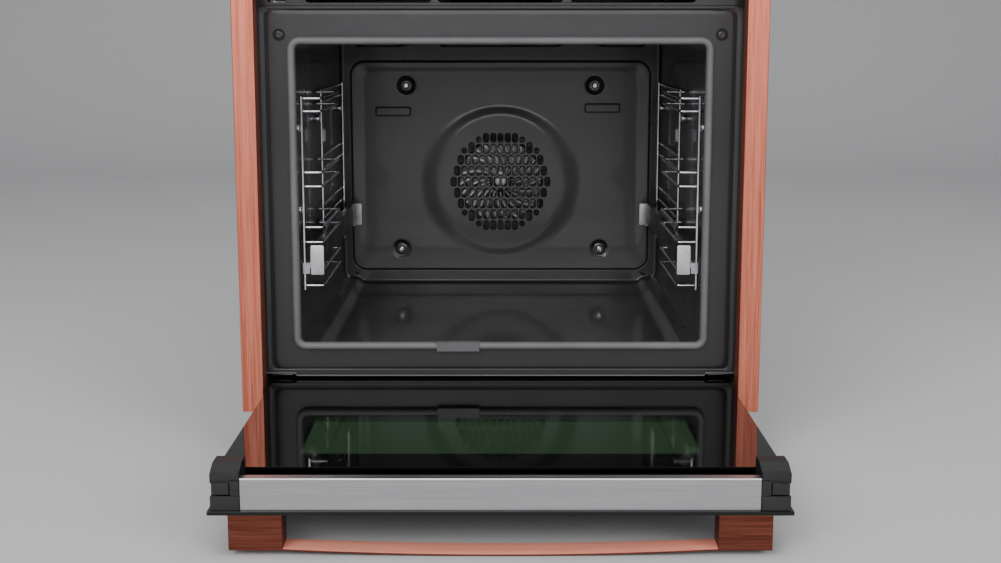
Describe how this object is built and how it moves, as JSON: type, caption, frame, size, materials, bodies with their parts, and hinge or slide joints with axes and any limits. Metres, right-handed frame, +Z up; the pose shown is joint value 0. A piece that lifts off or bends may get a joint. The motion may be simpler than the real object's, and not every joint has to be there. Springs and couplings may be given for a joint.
{
  "type": "wall oven",
  "caption": "Built-in wall oven with a level slide-under door, bowed bar handle, side trims, enamelled cavity, wire side racks, telescopic rails and a fan behind a perforated baffle.",
  "frame": {"origin": "centre of the niche base under the oven, in the plane of the cabinet's front edge", "axes": "+X to the right seen from the front, +Y into the cabinet, +Z up"},
  "size_m": [0.596, 0.82, 0.6316],
  "materials": {
    "enamel": "glossy dark grey enamel",
    "casing_steel": "galvanised sheet",
    "copper_trim": "copper tone, brushed",
    "satin_aluminium": "fine brushed",
    "chrome_wire": "polished",
    "plated_steel": "bright zinc plated",
    "dark_plastic": "moulded, fine grain",
    "black_glass": "dark printed glass",
    "clear_glass": "clear",
    "grey_rubber": "silicone seal",
    "wool": "fibre blanket",
    "element_steel": "heat-tinted sheath",
    "circuit_board": "board with solder mask",
    "ceramic_block": "unglazed"
  },
  "bodies": {
    "oven": {"baffle_panel": "enamel", "baffle_screws": "plated_steel", "base_plate": "casing_steel", "bay_ceiling": "casing_steel", "blower_motor": "casing_steel", "bottom_element": "element_steel", "cavity_shell": "enamel", "control_board": "circuit_board", "control_frame": "dark_plastic", "control_glass": "black_glass", "control_switches": "dark_plastic", "cooling_duct": "casing_steel", "display_module": "dark_plastic", "door_gasket": "grey_rubber", "door_rail_left": "plated_steel", "door_rail_right": "plated_steel", "fan_motor": "casing_steel", "frame_screws": "plated_steel", "front_frame": "enamel", "gasket_sleeve": "grey_rubber", "grill_element": "element_steel", "insulation_blanket": "wool", "lamp_glass": "clear_glass", "lamp_housing": "casing_steel", "latch_motor": "dark_plastic", "rack_bushes": "plated_steel", "rack_left": "chrome_wire", "rack_right": "chrome_wire", "rail_fixed_left": "plated_steel", "rail_fixed_right": "plated_steel", "rear_cover": "casing_steel", "ring_heater": "element_steel", "side_panel_left": "casing_steel", "side_panel_right": "casing_steel", "side_trim_left": "copper_trim", "side_trim_right": "copper_trim", "temperature_probe": "plated_steel", "terminal_block": "ceramic_block", "top_cover": "casing_steel", "vent_panel": "enamel"},
    "door": {"door_outer_glass": "black_glass", "door_frame": "casing_steel", "door_middle_glass": "clear_glass", "door_inner_glass": "black_glass", "door_top_strip": "satin_aluminium", "door_end_caps": "dark_plastic", "handle_blocks": "copper_trim", "handle_bar": "copper_trim", "hinge_carriages": "plated_steel"},
    "rail_inner_left": {"rail_inner_left": "plated_steel"},
    "rail_middle_left": {"rail_middle_left": "plated_steel"},
    "roller_left": {"roller_left": "dark_plastic"},
    "rail_inner_right": {"rail_inner_right": "plated_steel"},
    "rail_middle_right": {"rail_middle_right": "plated_steel"},
    "roller_right": {"roller_right": "dark_plastic"},
    "fan_impeller": {"fan_impeller": "plated_steel"},
    "blower_wheel": {"blower_wheel": "satin_aluminium"},
    "selector_knob": {"selector_knob": "satin_aluminium"},
    "power_button": {"power_button": "satin_aluminium"},
    "latch_pawl": {"latch_pawl": "plated_steel"}
  },
  "joints": [
    {"name": "door_slide", "type": "slide", "parent": "oven", "child": "door", "axis": [0, 1, 0], "range_m": [-0.148, 0.235]},
    {"name": "fan_spin", "type": "hinge", "parent": "oven", "child": "fan_impeller", "pos_m": [0, 0.46, 0.221], "axis": [0, 1, 0], "continuous": true},
    {"name": "blower_spin", "type": "hinge", "parent": "oven", "child": "blower_wheel", "pos_m": [0, 0.375, 0.5], "axis": [0, 0, 1], "continuous": true},
    {"name": "selector_turn", "type": "hinge", "parent": "oven", "child": "selector_knob", "pos_m": [0.15, -0.03, 0.546], "axis": [0, -1, 0], "continuous": true},
    {"name": "power_press", "type": "slide", "parent": "oven", "child": "power_button", "axis": [0, 1, 0], "range_m": [0, 0.0015], "stiffness_N_per_m": 500, "springref_m": -0.0015},
    {"name": "lock_slide", "type": "slide", "parent": "oven", "child": "latch_pawl", "axis": [0, -1, 0], "range_m": [0, 0.014]},
    {"name": "rail_extend_left", "type": "slide", "parent": "oven", "child": "rail_inner_left", "axis": [0, -1, 0], "range_m": [0, 0.35]},
    {"name": "rail_follow_left", "type": "slide", "parent": "oven", "child": "rail_middle_left", "axis": [0, -1, 0], "range_m": [0, 0.175]},
    {"name": "roller_turn_left", "type": "hinge", "parent": "door", "child": "roller_left", "pos_m": [-0.2747, 0.235, 0.02], "axis": [1, 0, 0], "range_deg": [-1960, 1240]},
    {"name": "rail_extend_right", "type": "slide", "parent": "oven", "child": "rail_inner_right", "axis": [0, -1, 0], "range_m": [0, 0.35]},
    {"name": "rail_follow_right", "type": "slide", "parent": "oven", "child": "rail_middle_right", "axis": [0, -1, 0], "range_m": [0, 0.175]},
    {"name": "roller_turn_right", "type": "hinge", "parent": "door", "child": "roller_right", "pos_m": [0.2747, 0.235, 0.02], "axis": [1, 0, 0], "range_deg": [-1960, 1240]}
  ],
  "couplings": [
    {"joint": "rail_follow_left", "follows": "rail_extend_left", "ratio": 0.5},
    {"joint": "roller_turn_left", "follows": "door_slide", "rad_per_m": -144.93},
    {"joint": "rail_follow_right", "follows": "rail_extend_right", "ratio": 0.5},
    {"joint": "roller_turn_right", "follows": "door_slide", "rad_per_m": -144.93}
  ]
}
